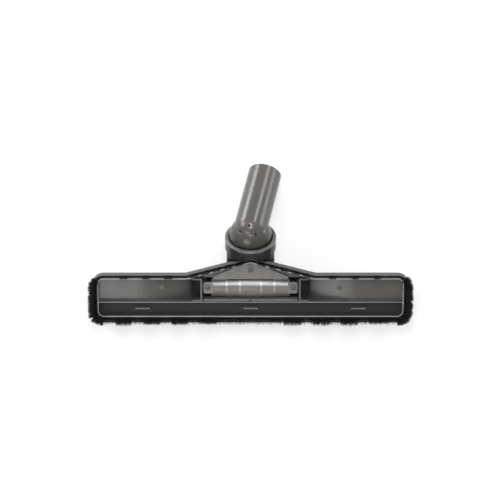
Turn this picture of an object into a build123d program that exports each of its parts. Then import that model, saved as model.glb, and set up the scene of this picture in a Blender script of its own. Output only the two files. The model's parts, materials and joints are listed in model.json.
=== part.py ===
"""Vacuum floor brush head with a tilting neck and a swivel elbow, lying on its back.

Every piece is drawn in the head's own frame: the tilt axis of the neck is the X axis, +Y runs to
the back of the head and +Z to the sole. The last step lays the pieces on the floor.
"""

from build123d import *
import math
import os

# Outline of the head, in plan
HEAD_LENGTH = 346.6
FRONT_REACH = 37.4
BACK_REACH = 17.8
APEX_REACH = 36.7
APEX_HALF = 71.0
CORNER_RADIUS = 12.0

# Depths below the sole
PIVOT_DEPTH = 16.5
RIM_DEPTH = 9.0
COVER_DEPTH = 20.5
COVER_EDGE = 4.0
COVER_INSET = 0.5
COVER_DRAFT = 20.0

# Rim of the sole frame: outer lip (wider at the front, slim at the back), brush groove, inner rim
FRONT_LIP = 3.6
END_LIP = 2.4
BACK_LIP = 1.2
GROOVE = 2.6
RIM = 1.6
GROOVE_DEPTH = 6.0
RIM_EDGE = 0.5
DIVIDER_EDGE = 0.6

# Walls and clearances
WALL = 1.8
SHELL = 2.2
RUNNING_GAP = 0.3
SLIDE_GAP = 0.15
SEAT_GAP = 0.05

# Suction channels
DIVIDER_AT = 13.8
DIVIDER = 1.5
DIVIDER_DROP = 0.8
FLAT_DEPTH = 7.0
RAMP_DEPTH = 20.0
RAMP_RUN = 59.9
CHANNEL_SLOPE = 28.0
PIT_RADIUS = 11.5
PIT_OFFSET = 12.5
PIT_LENGTH = 13.5
PIT_LAP = 2.4
PIT_DROP = 1.2
PIT_WALL = 2.0
DUCT_HOLE = 9.5
MARK_RADIUS = 2.75
MARK_AT = 98.0
MARK_SINK = 0.5

# Front compartment and its three snap hooks
POCKET_DEPTH = 11.0
HOOK_SPACING = 119.0
HOOK_LENGTH = 16.0
HOOK_AT = 23.6
HOOK_THICK = 1.6
HOOK_DEPTH = 8.0
HOOK_SLOT = 3.4
BARB_REACH = 1.2
BARB_HEIGHT = 1.8

# Bridge behind the barrel
BRIDGE = 2.0
BRIDGE_FROM = 13.2
REAR_SCREW_AT = 22.3
REAR_BOSS_RADIUS = 3.4
REAR_BOSS = 1.5

# Barrel of the neck and the cover that holds it
BARREL_RADIUS = 11.0
BARREL_BORE = 9.0
BARREL_HALF = 40.5
BARREL_END_GAP = 0.5
SADDLE_INNER = 29.6
BULGE_STEPS = ((12.0, 13.4), (26.5, 12.9), (BARREL_HALF + BARREL_END_GAP, 12.2))
END_RING = 2.0
END_RING_BORE = 9.6
LUG_THICK = 2.2
LUG_END = BARREL_HALF + 11.0
LUG_FRONT = 4.8
LUG_BACK = 8.2
SIDE_SCREW_X = BARREL_HALF + 6.4
SIDE_SCREW_Y = 2.0
LIP_WALL = 1.4
LIP_WALL_DEPTH = 2.5
LIP_WALL_HEIGHT = 11.0
LIP_NOTCH = 3.0
FLAP_FROM = 11.6
FLAP_FOOT = 2.0
FLAP_FOOT_THICK = 1.2
FLAP_SIDE = 14.5
FLAP_TIP = 28.5
FLAP_TIP_HALF = 9.0
FLAP_THICK = 2.0

# Screws and their posts
SCREW_HEAD_RADIUS = 2.8
SCREW_HEAD = 1.9
SCREW_RADIUS = 1.45
SIDE_SCREW_LENGTH = 11.0
REAR_SCREW_LENGTH = 5.2
RECESS_WIDTH = 0.9
RECESS_LENGTH = 3.4
RECESS_DEPTH = 1.1
SCREW_RING = 1.5
SCREW_RING_HEIGHT = 0.8
POST_RADIUS = 3.3

# Top cover
HUMP_RADIUS = 15.7
HUMP_OVERLAP = 1.5
HUMP_SLOPE = 9.0
HUMP_END_RADIUS = 7.0
SPINE_DEPTH = 24.8
SPINE_OVERLAP = 3.0
SPINE_SLOPE = 14.0
SPINE_FRONT = 17.4
SPINE_FOOT_FRONT = 24.0
SPINE_BACK = 9.2
SPINE_FOOT_BACK = 12.6
SLOT_HALF = 28.6
SLOT_FRONT = 14.6
SLOT_WALL = 2.0

# Neck
COLLAR_Y = 57.6
COLLAR_Z = 2.5
COLLAR_ANGLE = 22.2
COLLAR_RADIUS = 28.0
COLLAR_LENGTH = 14.0
STEM_HALF = 27.0
STEM_TOP = 5.0
STEM_CORNER = 5.0
STEM_JOIN = 8.0
STEM_JOIN_RADIUS = 26.0
RELIEF = 2.0

# Swivel joint in the collar, along the collar axis from its mouth
RING_THICK = 2.2
RING_BORE = 24.1
RING_EDGE = 0.7
FLANGE_RADIUS = 25.8
FLANGE = 1.7
SPIGOT_RADIUS = 19.6
SPIGOT_LENGTH = 3.6
NECK_BORE = 20.2
SEAL_RADIUS = 19.0
SEAL_THICK = 0.9

# Elbow
ELBOW_RISE = 11.0
ELBOW_BEND = 70.0
ELBOW_SWIVEL = 13.6
TUBE_BORE = 16.0
TUBE_WALL = 2.2
TUBE_LENGTH = 73.5
SOCKET_LENGTH = 52.0
STOP_STEP = 0.5
DOME_RADIUS = 23.3
DOME_HEIGHT = 23.0
DOME_LAND = 1.0
DOME_BLEND = 3.0
MOUTH_EDGE = 0.8
BLEED_RADIUS = 1.25
BLEED_TURNS = ((-117.0, 19.0), (-82.0, 48.0), (-58.0, 16.0))

# Brushes
HOLDER_HEIGHT = 4.0
HOLDER_SLOT = 1.4
HOLDER_SLOT_DEPTH = 2.4
BRISTLE_HEIGHT = 11.5
BRISTLE_ROOT = 1.3
BRISTLE_MOUTH = 2.0
BRISTLE_SPLAY = {"front": (5.5, 1.2), "end": (9.0, 1.8), "rear": (1.8, 3.4), "apex": (1.8, 2.6)}
BRISTLE_END_GAP = 0.4
END_TURN = 6.0
END_FRONT = 0.6
KNEE_GAP = 1.2
TUFT_FIRST = {"front": 46.5, "rear": 89.5, "apex": 12.0}
TUFT_PITCH = {"front": 31.0, "rear": 24.5, "apex": 12.3}
TUFT_WIDTH = {"front": 19.0, "rear": 8.0, "apex": 8.5}
TUFT_FOOT = 0.5
APEX_GAP = 3.0

SOLE = PIVOT_DEPTH
BAND = GROOVE + RIM
PIT_INNER = BARREL_HALF + PIT_OFFSET
PIT_OUTER = PIT_INNER + PIT_LENGTH
RAMP_INNER = PIT_OUTER - PIT_LAP
RAMP_OUTER = RAMP_INNER + RAMP_RUN
HUMP_HALF = PIT_OUTER + HUMP_OVERLAP
HUMP_END_HALF = HUMP_HALF + HUMP_SLOPE
SPINE_HALF = HUMP_END_HALF + SPINE_OVERLAP
SPINE_FOOT_HALF = SPINE_HALF + SPINE_SLOPE
TUBE_RADIUS = TUBE_BORE + TUBE_WALL
APEX_SLOPE = math.atan2(APEX_REACH - BACK_REACH, APEX_HALF)
FAR = 400.0
EPS = 0.2


def level(depth):
    """Height of a plane that lies this deep below the sole."""
    return SOLE - depth


def slab(x0, x1, y0, y1, z0, z1):
    """Box between two corners."""
    size = Box(x1 - x0, y1 - y0, z1 - z0)
    return Pos((x0 + x1) / 2, (y0 + y1) / 2, (z0 + z1) / 2) * size


def window(x0, x1, y0, y1):
    """Rectangle between two corners."""
    return Pos((x0 + x1) / 2, (y0 + y1) / 2) * Rectangle(x1 - x0, y1 - y0)


def outline(front_inset, end_inset, back_inset):
    """Outline of the head, moved inwards by an inset at the front, the ends and the back."""
    half = HEAD_LENGTH / 2 - end_inset
    front = front_inset - FRONT_REACH
    back = BACK_REACH - back_inset
    apex = APEX_REACH - back_inset / math.cos(APEX_SLOPE)
    knee = (apex - back) / math.tan(APEX_SLOPE)
    points = [(-half, front), (half, front), (half, back), (knee, back)]
    points += [(0, apex), (-knee, back), (-half, back)]
    face = Polygon(*points, align=None)
    corners = [v for v in face.vertices() if abs(v.X) > half - EPS]
    return fillet(corners, CORNER_RADIUS - end_inset)


def plan(inset):
    """Outline of the head, moved inwards by the same inset all round."""
    return outline(inset, inset, inset)


def within_lip(inset):
    """Outline of the inner edge of the outer lip, moved inwards by the inset."""
    return outline(FRONT_LIP + inset, END_LIP + inset, BACK_LIP + inset)


def prism(face, z0, z1):
    """Plan face drawn up from one height to another."""
    return extrude(Pos(0, 0, z0) * face, z1 - z0)


def along_x(radius, x0, x1):
    """Cylinder round the tilt axis."""
    return Pos((x0 + x1) / 2, 0, 0) * Rot(0, 90, 0) * Cylinder(radius, x1 - x0)


def both_sides(piece):
    """The piece and its mirror image across the middle of the head."""
    return piece + mirror(piece, Plane.YZ)


def ramp_radius():
    """Radius of the channel floor between its flat and its deep end."""
    run = RAMP_OUTER - RAMP_INNER
    drop = RAMP_DEPTH - FLAT_DEPTH
    return (run**2 + drop**2) / (2 * drop)


def ramp_depth(x):
    """Depth of the channel floor at a distance from the middle."""
    radius = ramp_radius()
    return FLAT_DEPTH + radius - math.sqrt(radius**2 - (RAMP_OUTER - x) ** 2)


def channel(x_start, drop, y0, y1, top):
    """Space over the right channel's floor, the floor lowered by a drop."""
    end = HEAD_LENGTH / 2 - END_LIP - GROOVE
    middle = (RAMP_INNER + RAMP_OUTER) / 2
    start = (x_start, level(RAMP_DEPTH) - drop)
    inner = (RAMP_INNER, level(RAMP_DEPTH) - drop)
    halfway = (middle, level(ramp_depth(middle)) - drop)
    outer = (RAMP_OUTER, level(FLAT_DEPTH) - drop)
    edges = [Line(start, inner)] if x_start < RAMP_INNER else []
    edges += [ThreePointArc(inner, halfway, outer)]
    edges += [Polyline(outer, (end, outer[1]), (end, top), (x_start, top), start)]
    side = Plane.XZ * make_face(Curve() + edges)
    return Pos(0, y1, 0) * extrude(side, y1 - y0, dir=(0, -1, 0))


def before_slope(knee):
    """Space before the back wall of the channels, which slopes in below the flat from a knee."""
    drop = FAR
    points = [(-FAR, FAR), (knee, FAR), (knee, level(FLAT_DEPTH))]
    points += [(knee - drop * math.tan(math.radians(CHANNEL_SLOPE)), level(FLAT_DEPTH) - drop)]
    points += [(-FAR, level(FLAT_DEPTH) - drop)]
    return extrude(Plane.YZ * Polygon(*points, align=None), FAR, both=True)


def gutter(radius, x0, x1, top):
    """Round-bottomed trough about the tilt axis, open to the sole."""
    return along_x(radius, x0, x1) + slab(x0, x1, -radius, radius, 0, top)


def sole_frame():
    """Lower frame: rim with its brush groove, divider, channels, pits, pocket and bridge."""
    inner_back = BACK_REACH - BACK_LIP - BAND
    divider_front = -DIVIDER_AT - DIVIDER / 2
    divider_back = -DIVIDER_AT + DIVIDER / 2
    top = level(DIVIDER_DROP)
    pit_top = level(PIT_DROP)
    rim = prism(plan(0) - within_lip(BAND), level(RIM_DEPTH), SOLE)
    rim -= prism(within_lip(0) - within_lip(GROOVE), level(GROOVE_DEPTH), SOLE)
    rim = fillet(rim.edges().group_by(Axis.Z)[-1], RIM_EDGE)

    inside = prism(within_lip(BAND), -FAR, FAR)
    within_rim = prism(within_lip(BAND - RIM / 2), -FAR, FAR)
    knee = inner_back + WALL / math.cos(math.radians(CHANNEL_SLOPE))
    trough = channel(RAMP_INNER - WALL, WALL, divider_front, knee, top)
    trough = trough & within_rim & before_slope(knee)
    trough_air = channel(RAMP_INNER, 0, divider_back, inner_back, SOLE)
    trough_air = trough_air & inside & before_slope(inner_back)
    pit = gutter(PIT_RADIUS + WALL, PIT_INNER, PIT_OUTER, pit_top)
    pit_air = gutter(PIT_RADIUS, PIT_INNER + PIT_WALL, PIT_OUTER - WALL, SOLE)
    pit_air += along_x(DUCT_HOLE, PIT_INNER - EPS, PIT_OUTER - WALL)

    pocket_face = within_lip(BAND - RIM / 2) & window(-FAR, FAR, -FAR, divider_back)
    pocket = prism(pocket_face, level(POCKET_DEPTH + WALL), top)
    pocket_air_face = within_lip(BAND) & window(-FAR, FAR, -FAR, divider_front)
    pocket_air = prism(pocket_air_face, level(POCKET_DEPTH), SOLE)

    bridge_half = RAMP_INNER - WALL + EPS
    bridge_face = within_lip(BAND - RIM / 2) & window(-bridge_half, bridge_half, BRIDGE_FROM, FAR)
    bridge = prism(bridge_face, level(RIM_DEPTH), level(RIM_DEPTH) + BRIDGE)
    boss_height = BRIDGE + REAR_BOSS
    boss = Cylinder(REAR_BOSS_RADIUS, boss_height, align=(Align.CENTER, Align.CENTER, Align.MAX))
    bridge += Pos(0, REAR_SCREW_AT, level(RIM_DEPTH) + BRIDGE) * boss

    mark_floor = level(ramp_depth(MARK_AT) + MARK_SINK)
    mark = Pos(MARK_AT, 0, (mark_floor + SOLE) / 2) * Cylinder(MARK_RADIUS, SOLE - mark_floor)

    frame = rim + pocket + bridge + both_sides(trough + pit)
    frame = frame - pocket_air - both_sides(trough_air + pit_air + mark)
    bevel = Rot(45, 0, 0) * Box(HEAD_LENGTH - 2 * (END_LIP + BAND), DIVIDER_EDGE, DIVIDER_EDGE)
    frame -= Pos(0, divider_front, top) * bevel
    frame -= Pos(0, divider_back, top) * bevel
    half = HOOK_LENGTH / 2 + RUNNING_GAP
    back = -HOOK_AT + HOOK_THICK / 2 + RUNNING_GAP
    slot = slab(-half, half, back - HOOK_SLOT, back, level(POCKET_DEPTH + 2 * WALL), SOLE)
    for x in (-HOOK_SPACING, 0, HOOK_SPACING):
        frame -= Pos(x, 0, 0) * slot
    pilot = Cylinder(SCREW_RADIUS + SEAT_GAP, FAR)
    return frame - Pos(0, REAR_SCREW_AT, 0) * pilot


def cover_base(inset, z0, edge):
    """Body of the cover below the frame, drawn in by its draft, its far edge rounded."""
    top = level(RIM_DEPTH)
    body = extrude(Pos(0, 0, top) * plan(COVER_INSET + inset), z0 - top, taper=COVER_DRAFT)
    return fillet(body.faces().sort_by(Axis.Z)[0].edges(), edge)


def cover_spine(inset):
    """Raised block over the deep ends of the channels."""
    foot = window(
        inset - SPINE_FOOT_HALF,
        SPINE_FOOT_HALF - inset,
        inset - SPINE_FOOT_FRONT,
        SPINE_FOOT_BACK - inset,
    )
    head = window(
        inset - SPINE_HALF,
        SPINE_HALF - inset,
        inset - SPINE_FRONT,
        SPINE_BACK - inset,
    )
    foot_z = level(COVER_DEPTH - COVER_EDGE)
    head_z = level(SPINE_DEPTH - inset)
    return loft([Pos(0, 0, foot_z) * foot, Pos(0, 0, head_z) * head], ruled=True)


def cover_hump(inset):
    """Round hump over the barrel and the two pits, with sloping ends."""
    radius = HUMP_RADIUS - inset
    half = HUMP_HALF - inset / 2
    end_half = HUMP_END_HALF - inset
    end_radius = HUMP_END_RADIUS - inset
    points = [(-end_half, 0), (-end_half, end_radius), (-half, radius)]
    points += [(half, radius), (end_half, end_radius), (end_half, 0)]
    return revolve(Polygon(*points, align=None), Axis.X)


def top_cover():
    """Upper housing with the hump, the neck slot, two saddles, two screw posts and three hooks."""
    floor = level(COVER_DEPTH)
    ceiling = level(RIM_DEPTH)
    below_frame = slab(-FAR, FAR, -FAR, FAR, -FAR, ceiling)
    outer = cover_base(0, floor, COVER_EDGE) + cover_spine(0)
    outer += cover_hump(0) & slab(-FAR, FAR, -FAR, FAR, -FAR, floor + COVER_EDGE)
    inner = cover_base(SHELL, floor + SHELL, COVER_EDGE - SHELL) + cover_spine(SHELL)
    inner += cover_hump(SHELL - EPS / 2) & below_frame

    wall_half = SLOT_HALF + SLOT_WALL
    wall_front = -SLOT_FRONT - SLOT_WALL
    pocket_under = level(POCKET_DEPTH + WALL) - RUNNING_GAP
    walls = slab(-wall_half, wall_half, wall_front, BRIDGE_FROM, -FAR, 0)
    walls += slab(-wall_half, wall_half, BRIDGE_FROM - EPS, FAR, -FAR, ceiling)
    walls += slab(-wall_half, wall_half, wall_front, -SLOT_FRONT, -FAR, pocket_under)
    for sign in (-1, 1):
        start = sign * SADDLE_INNER
        end = sign * BARREL_HALF
        walls += along_x(BARREL_RADIUS + WALL, min(start, end), max(start, end))
    room = slab(-FAR, FAR, -FAR, FAR, -FAR, pocket_under)
    room += slab(-FAR, FAR, BRIDGE_FROM - EPS, FAR, -FAR, ceiling)
    walls &= room
    saddle_top = slab(-FAR, FAR, wall_front + SLOT_WALL, BRIDGE_FROM - EPS, 0, FAR)
    cover = outer - inner + ((outer & walls) - saddle_top)

    lug_under = BULGE_STEPS[-1][1] - LUG_THICK
    post = Cylinder(POST_RADIUS, FAR, align=(Align.CENTER, Align.CENTER, Align.MAX))
    post = Pos(SIDE_SCREW_X, SIDE_SCREW_Y, lug_under) * post
    post &= along_x(HUMP_RADIUS - SHELL / 2, 0, FAR) + slab(0, FAR, -FAR, FAR, 0, FAR)
    cover += both_sides(post)

    hook_top = level(HOOK_DEPTH)
    back = -HOOK_AT + HOOK_THICK / 2
    barb_z = level(POCKET_DEPTH) + RUNNING_GAP
    barb = Polygon(
        (back - HOOK_THICK, hook_top),
        (back - HOOK_THICK, barb_z),
        (back + BARB_REACH, barb_z),
        (back + BARB_REACH, barb_z + BARB_HEIGHT / 2),
        (back, hook_top),
        align=None,
    )
    barb = extrude(Plane.YZ * barb, HOOK_LENGTH / 2, both=True)
    half = HOOK_LENGTH / 2
    stalk = slab(-half, half, back - HOOK_THICK, back, floor + SHELL / 2, hook_top)
    for x in (-HOOK_SPACING, 0, HOOK_SPACING):
        cover += Pos(x, 0, 0) * (stalk + barb)

    cover -= slab(-SLOT_HALF, SLOT_HALF, -SLOT_FRONT, FAR, -FAR, FAR)
    cover -= along_x(BARREL_RADIUS + RUNNING_GAP, -BARREL_HALF - EPS, BARREL_HALF + EPS)
    pilot = Cylinder(SCREW_RADIUS + SEAT_GAP, 2 * SIDE_SCREW_LENGTH)
    return cover - both_sides(Pos(SIDE_SCREW_X, SIDE_SCREW_Y, lug_under) * pilot)


def pivot_cover():
    """Clamp over the barrel: stepped half-round bulge, end lugs, front wall and rear flap."""
    end_half, end_radius = BULGE_STEPS[-1]
    bulge = along_x(end_radius, -end_half - END_RING, end_half + END_RING)
    for half, radius in BULGE_STEPS:
        bulge += along_x(radius, -half, half)
    lug_under = end_radius - LUG_THICK
    lug = slab(end_half, LUG_END, -LUG_FRONT, LUG_BACK, lug_under, end_radius)
    lug = fillet(lug.edges().filter_by(Axis.Z).group_by(Axis.X)[-1], LUG_FRONT / 2)
    collar = Cylinder(SCREW_HEAD_RADIUS + SCREW_RING, SCREW_RING_HEIGHT)
    collar_z = end_radius + SCREW_RING_HEIGHT / 2
    lug += Pos(SIDE_SCREW_X, SIDE_SCREW_Y, collar_z) * collar

    wall_front = -DIVIDER_AT + DIVIDER / 2 + RUNNING_GAP
    wall_top = level(LIP_WALL_DEPTH)
    wall_under = wall_top - LIP_WALL_HEIGHT
    wall = slab(-LUG_END, LUG_END, wall_front, wall_front + LIP_WALL, wall_under, wall_top)
    wall -= Pos(0, wall_front, wall_top) * Rot(90, 0, 0) * Cylinder(LIP_NOTCH / 2, FAR)

    flap_under = level(RIM_DEPTH) + BRIDGE
    points = [(-end_half, FLAP_FROM), (end_half, FLAP_FROM), (end_half, FLAP_SIDE)]
    points += [(FLAP_TIP_HALF, FLAP_TIP), (-FLAP_TIP_HALF, FLAP_TIP), (-end_half, FLAP_SIDE)]
    flap_face = Polygon(*points, align=None)
    flap_face = fillet(flap_face.vertices().group_by(Axis.Y)[-1], FLAP_TIP_HALF / 2)
    flap = prism(flap_face, flap_under, flap_under + FLAP_THICK)
    riser_back = BRIDGE_FROM - EPS - RUNNING_GAP
    foot_under = STEM_TOP + LIP_WALL
    foot_top = foot_under + FLAP_FOOT_THICK
    flap += slab(-end_half, end_half, FLAP_FROM, riser_back, foot_under, flap_under + FLAP_THICK)
    flap += slab(-end_half, end_half, FLAP_FROM - FLAP_FOOT, riser_back, foot_under, foot_top)
    flap += Pos(0, REAR_SCREW_AT, flap_under + FLAP_THICK + SCREW_RING_HEIGHT / 2) * collar

    clamp = bulge + both_sides(lug) + wall + flap
    clamp -= along_x(BARREL_RADIUS + RUNNING_GAP, -end_half, end_half)
    clamp -= along_x(END_RING_BORE, -FAR, FAR)
    clamp -= slab(-FAR, FAR, -FAR, FAR, -FAR, RUNNING_GAP)
    clamp -= slab(-SLOT_HALF, SLOT_HALF, 0, FAR, -FAR, STEM_TOP + LIP_WALL)
    up = (Align.CENTER, Align.CENTER, Align.MIN)
    head = Cylinder(SCREW_HEAD_RADIUS + SLIDE_GAP, SCREW_RING_HEIGHT, align=up)
    hole = Cylinder(SCREW_RADIUS + SLIDE_GAP, FAR)
    clamp -= both_sides(Pos(SIDE_SCREW_X, SIDE_SCREW_Y, end_radius) * (head + hole))
    return clamp - Pos(0, REAR_SCREW_AT, flap_under + FLAP_THICK) * (head + hole)


def screw(length):
    """Pan-head screw, its head standing on Z = 0, with a cross recess."""
    head = Cylinder(SCREW_HEAD_RADIUS, SCREW_HEAD, align=(Align.CENTER, Align.CENTER, Align.MIN))
    head = fillet(head.edges().group_by(Axis.Z)[-1], SCREW_HEAD / 2)
    shank = Cylinder(SCREW_RADIUS, length, align=(Align.CENTER, Align.CENTER, Align.MAX))
    shank = chamfer(shank.edges().group_by(Axis.Z)[0], SCREW_RADIUS / 2)
    arm = Box(RECESS_LENGTH, RECESS_WIDTH, 2 * RECESS_DEPTH)
    return head + shank - Pos(0, 0, SCREW_HEAD) * (arm + Rot(0, 0, 90) * arm)


def collar_frame():
    """Place of the collar's mouth, +Z out of it along the swivel axis."""
    return Pos(0, COLLAR_Y, COLLAR_Z) * Rot(COLLAR_ANGLE - 90, 0, 0)


def neck_space(inset):
    """Wedge-shaped stem from the barrel to the collar, inset all round."""
    far_side = -BARREL_RADIUS * math.cos(math.radians(COLLAR_ANGLE)) + inset
    near_side = STEM_TOP - inset
    root = RectangleRounded(2 * (STEM_HALF - inset), near_side - far_side, STEM_CORNER - inset / 2)
    root = Pos(0, 0, (near_side + far_side) / 2) * Rot(90, 0, 0) * root
    join = collar_frame() * Pos(0, 0, -STEM_JOIN) * Circle(STEM_JOIN_RADIUS - inset)
    return loft([root, join])


def neck():
    """Tilting neck: hollow barrel, stem and collar, cut back where it passes under the apex."""
    dish_depth = RING_THICK + RUNNING_GAP + FLANGE + RUNNING_GAP
    down = (Align.CENTER, Align.CENTER, Align.MAX)
    collar = Cylinder(COLLAR_RADIUS, COLLAR_LENGTH - RING_THICK, align=down)
    collar = collar_frame() * Pos(0, 0, -RING_THICK) * collar
    relief = prism(plan(-RELIEF), STEM_TOP, FAR)
    body = neck_space(0) + collar - relief + along_x(BARREL_RADIUS, -BARREL_HALF, BARREL_HALF)

    throat = Cylinder(NECK_BORE, COLLAR_LENGTH + WALL, align=down)
    air = neck_space(WALL) + collar_frame() * throat
    air -= prism(plan(-RELIEF - WALL), STEM_TOP - WALL, FAR)
    dish = Cylinder(FLANGE_RADIUS + RUNNING_GAP, dish_depth, align=down)
    return body - air - collar_frame() * dish - along_x(BARREL_BORE, -FAR, FAR)


def retaining_ring():
    """Flat ring on the collar's mouth that holds the elbow in."""
    ring = Cylinder(COLLAR_RADIUS, RING_THICK) - Cylinder(RING_BORE, RING_THICK)
    ring = fillet(ring.edges().group_by(Axis.Z)[-1], RING_EDGE)
    return Pos(0, 0, -RING_THICK / 2) * ring


def elbow_base():
    """Turned base of the elbow: dome, trapped flange and spigot with its seal groove."""
    flange_top = -RING_THICK - RUNNING_GAP
    flange_under = flange_top - FLANGE
    spigot_end = flange_under - SPIGOT_LENGTH
    seal_z = (flange_under + spigot_end) / 2
    seal_low = seal_z - SEAL_THICK
    seal_high = seal_z + SEAL_THICK
    groove_radius = SEAL_RADIUS - SEAL_THICK
    points = [(0, spigot_end), (SPIGOT_RADIUS, spigot_end), (SPIGOT_RADIUS, seal_low)]
    points += [(groove_radius, seal_low), (groove_radius, seal_high), (SPIGOT_RADIUS, seal_high)]
    points += [(SPIGOT_RADIUS, flange_under), (FLANGE_RADIUS, flange_under)]
    points += [(FLANGE_RADIUS, flange_top), (DOME_RADIUS, flange_top), (DOME_RADIUS, DOME_LAND)]
    dome = EllipticalCenterArc((0, DOME_LAND), DOME_RADIUS, DOME_HEIGHT, arc_size=90)
    closing = Line(dome @ 1, (0, spigot_end))
    section = Curve() + [Polyline(*points), dome, closing]
    return revolve(Plane.XZ * make_face(section), Axis.Z)


def elbow():
    """Swivel elbow: turned base, ball and wand tube, with three bleed holes."""
    centre = Pos(0, 0, ELBOW_RISE)
    lean = centre * Rot(-ELBOW_BEND, 0, 0)
    spigot_end = -RING_THICK - RUNNING_GAP - FLANGE - SPIGOT_LENGTH
    up = (Align.CENTER, Align.CENTER, Align.MIN)
    down = (Align.CENTER, Align.CENTER, Align.MAX)
    tube = Cylinder(TUBE_RADIUS, TUBE_LENGTH, align=up)
    tube = fillet(tube.edges().group_by(Axis.Z)[-1], MOUTH_EDGE)
    pieces = [elbow_base(), centre * Sphere(TUBE_RADIUS), lean * tube]
    body = pieces[0] + pieces[1] + pieces[2]
    body = fillet(new_edges(*pieces, combined=body), DOME_BLEND)

    narrow = TUBE_BORE - STOP_STEP
    air = lean * Cylinder(narrow, TUBE_LENGTH, align=up)
    socket = Cylinder(TUBE_BORE, SOCKET_LENGTH, align=up)
    air += lean * Pos(0, 0, TUBE_LENGTH - SOCKET_LENGTH) * socket
    air += centre * Sphere(narrow)
    air += centre * Cylinder(narrow, 2 * (ELBOW_RISE - spigot_end), align=down)
    body -= air
    bleed = Cylinder(BLEED_RADIUS, 2 * TUBE_RADIUS, align=up)
    for turn, rise in BLEED_TURNS:
        body -= centre * Rot(0, 0, turn) * Rot(0, 90 - rise, 0) * bleed
    return Rot(0, 0, -ELBOW_SWIVEL) * body


def swivel_seal():
    """Seal ring in the spigot's groove."""
    seal_z = -RING_THICK - RUNNING_GAP - FLANGE - SPIGOT_LENGTH / 2
    return Pos(0, 0, seal_z) * Torus(SEAL_RADIUS, SEAL_THICK - SEAT_GAP)


def brush_regions():
    """Plan window of each brush, keyed by its name, on the left and the right."""
    half = HEAD_LENGTH / 2
    turn_x = half - CORNER_RADIUS
    turn_y = BACK_REACH - CORNER_RADIUS
    left = {
        "end_left": window(-FAR, -turn_x - BRISTLE_END_GAP, -FAR, turn_y + END_TURN),
        "rear_left": window(-turn_x, -APEX_HALF - KNEE_GAP, 0, FAR),
        "apex_left": window(KNEE_GAP - APEX_HALF, -APEX_GAP, 0, FAR),
    }
    right = {name.replace("left", "right"): mirror(face, Plane.YZ) for name, face in left.items()}
    return {"front": window(-turn_x, turn_x, -FAR, 0), **left, **right}


def brush_footprint(region, outward, inward):
    """Part of a brush's window between two distances from the groove's middle, out and in."""
    return (within_lip(GROOVE / 2 - outward) - within_lip(GROOVE / 2 + inward)) & region


def holder(region):
    """Strip in the rim's groove that grips the bristles."""
    half = GROOVE / 2 - SLIDE_GAP
    bottom = level(GROOVE_DEPTH)
    body = prism(brush_footprint(region, half, half), bottom, bottom + HOLDER_HEIGHT)
    slot = brush_footprint(region, HOLDER_SLOT / 2, HOLDER_SLOT / 2)
    slot_bottom = bottom + HOLDER_HEIGHT - HOLDER_SLOT_DEPTH
    return body - prism(slot, slot_bottom, SOLE)


def tuft_room(kind, end):
    """Space for the tufts of one kind of brush, on both sides as far out as the brush's end."""
    room = slab(-FAR, FAR, -FAR, FAR, -FAR, SOLE + TUFT_FOOT)
    half = TUFT_WIDTH[kind] / 2
    x = TUFT_FIRST[kind]
    while x + half < end:
        room += both_sides(slab(x - half, x + half, -FAR, FAR, SOLE, FAR))
        x += TUFT_PITCH[kind]
    return room


def bristles(name, region):
    """Row of bristles, gripped in its holder and splayed at the tips, in tufts except at the ends."""
    kind = name.split("_")[0]
    root_z = level(GROOVE_DEPTH) + HOLDER_HEIGHT - HOLDER_SLOT_DEPTH
    grip_z = level(GROOVE_DEPTH) + HOLDER_HEIGHT
    root = brush_footprint(region, BRISTLE_ROOT / 2, BRISTLE_ROOT / 2)
    mouth = brush_footprint(region, BRISTLE_MOUTH / 2, BRISTLE_MOUTH / 2)
    tips = brush_footprint(region, *BRISTLE_SPLAY[kind])
    grip_face = Pos(0, 0, grip_z) * root.face()
    mouth_face = Pos(0, 0, SOLE) * mouth.face()
    tip_face = Pos(0, 0, SOLE + BRISTLE_HEIGHT) * tips.face()
    row = prism(root, root_z, grip_z)
    row += loft([grip_face, mouth_face], ruled=True) + loft([mouth_face, tip_face], ruled=True)
    if kind == "end":
        return row & slab(-FAR, FAR, -FRONT_REACH - END_FRONT, FAR, -FAR, FAR)
    box = row.bounding_box()
    return row & tuft_room(kind, max(box.max.X, -box.min.X))


def head_tilt():
    """Angle at which the head leans, resting on its hump and on the cover's front edge."""
    draft = math.radians(COVER_DRAFT)
    edge_z = level(COVER_DEPTH) + COVER_EDGE
    drawn_in = (level(RIM_DEPTH) - edge_z) * math.tan(draft) + COVER_EDGE / math.cos(draft)
    edge_y = COVER_INSET + drawn_in - FRONT_REACH
    reach = math.hypot(edge_y, edge_z)
    return math.pi - math.asin((COVER_EDGE - HUMP_RADIUS) / reach) - math.atan2(edge_z, edge_y)


def neck_tilt(start):
    """Angle of the neck, from the floor, at which the tube's mouth touches the floor."""
    swivel = math.radians(ELBOW_SWIVEL)
    bend = math.radians(ELBOW_BEND)
    collar = math.radians(COLLAR_ANGLE)
    side = math.sin(bend) * math.cos(swivel)
    rise = math.cos(bend)
    tube_y = rise * math.cos(collar) + side * math.sin(collar)
    tube_z = rise * math.sin(collar) - side * math.cos(collar)
    end_y = COLLAR_Y + ELBOW_RISE * math.cos(collar) + TUBE_LENGTH * tube_y
    end_z = COLLAR_Z + ELBOW_RISE * math.sin(collar) + TUBE_LENGTH * tube_z

    def clearance(angle):
        tilt = tube_y * math.sin(angle) + tube_z * math.cos(angle)
        middle = end_y * math.sin(angle) + end_z * math.cos(angle)
        return HUMP_RADIUS + middle - TUBE_RADIUS * math.sqrt(1 - tilt**2)

    low, high = start - math.pi / 6, start + math.pi / 6
    while high - low > 1e-9:
        middle = (low + high) / 2
        if clearance(middle) > 0:
            high = middle
        else:
            low = middle
    return (low + high) / 2


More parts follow.
